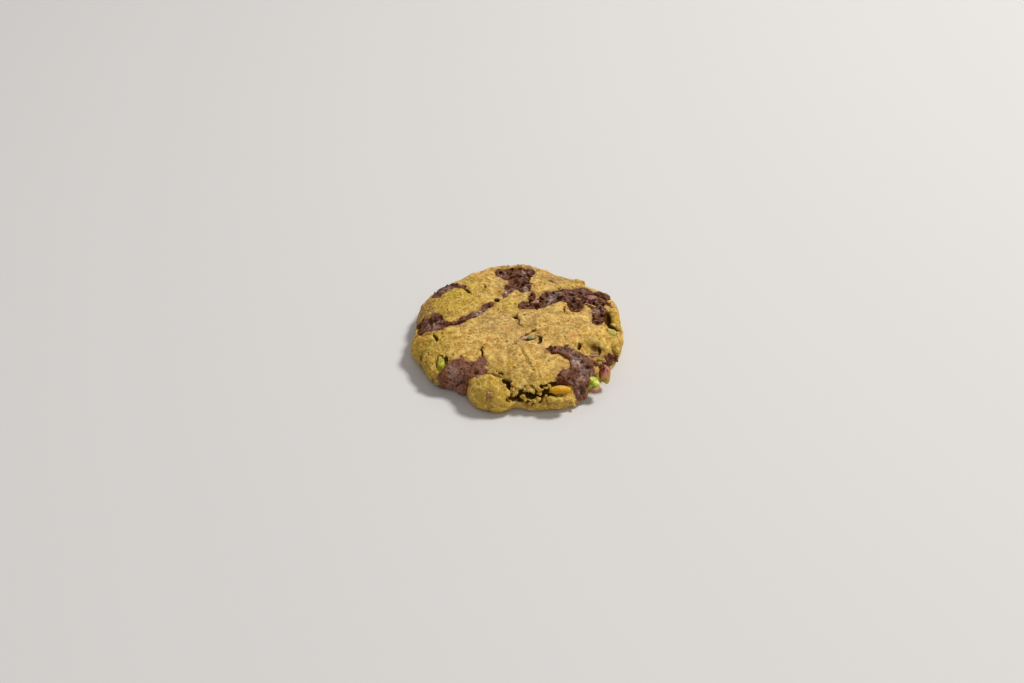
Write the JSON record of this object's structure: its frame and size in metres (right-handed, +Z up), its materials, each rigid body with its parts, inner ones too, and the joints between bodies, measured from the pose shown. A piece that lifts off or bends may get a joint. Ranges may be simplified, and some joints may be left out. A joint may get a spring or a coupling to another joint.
{
  "type": "pistachio chocolate chunk cookie",
  "caption": "Thick round dough cookie with a softly lobed edge, melted chocolate chunks and pistachio kernels set in its top and sides.",
  "frame": {"origin": "middle of the cookie's flat underside, at the bottom centre of its box", "axes": "+Z up out of the top, -Y towards the front, where the round lobe and the crumbly crevice are, +X to the right"},
  "size_m": [0.0936, 0.1, 0.0179],
  "materials": {
    "dough": null,
    "chocolate": null,
    "pistachio_green": null,
    "pistachio_golden": null,
    "pistachio_skin": null
  },
  "bodies": {
    "root": {"dough": "dough", "chocolate_back": "chocolate", "chocolate_band": "chocolate", "chocolate_back_left": "chocolate", "chocolate_left": "chocolate", "chocolate_front_left": "chocolate", "chocolate_front_right": "chocolate", "chocolate_right_edge": "chocolate", "pistachio_left": "pistachio_green", "pistachio_front_green": "pistachio_green", "pistachio_pale": "pistachio_green", "pistachio_golden": "pistachio_golden", "pistachio_rose": "pistachio_skin", "pistachio_in_band": "pistachio_skin"}
  },
  "joints": []
}
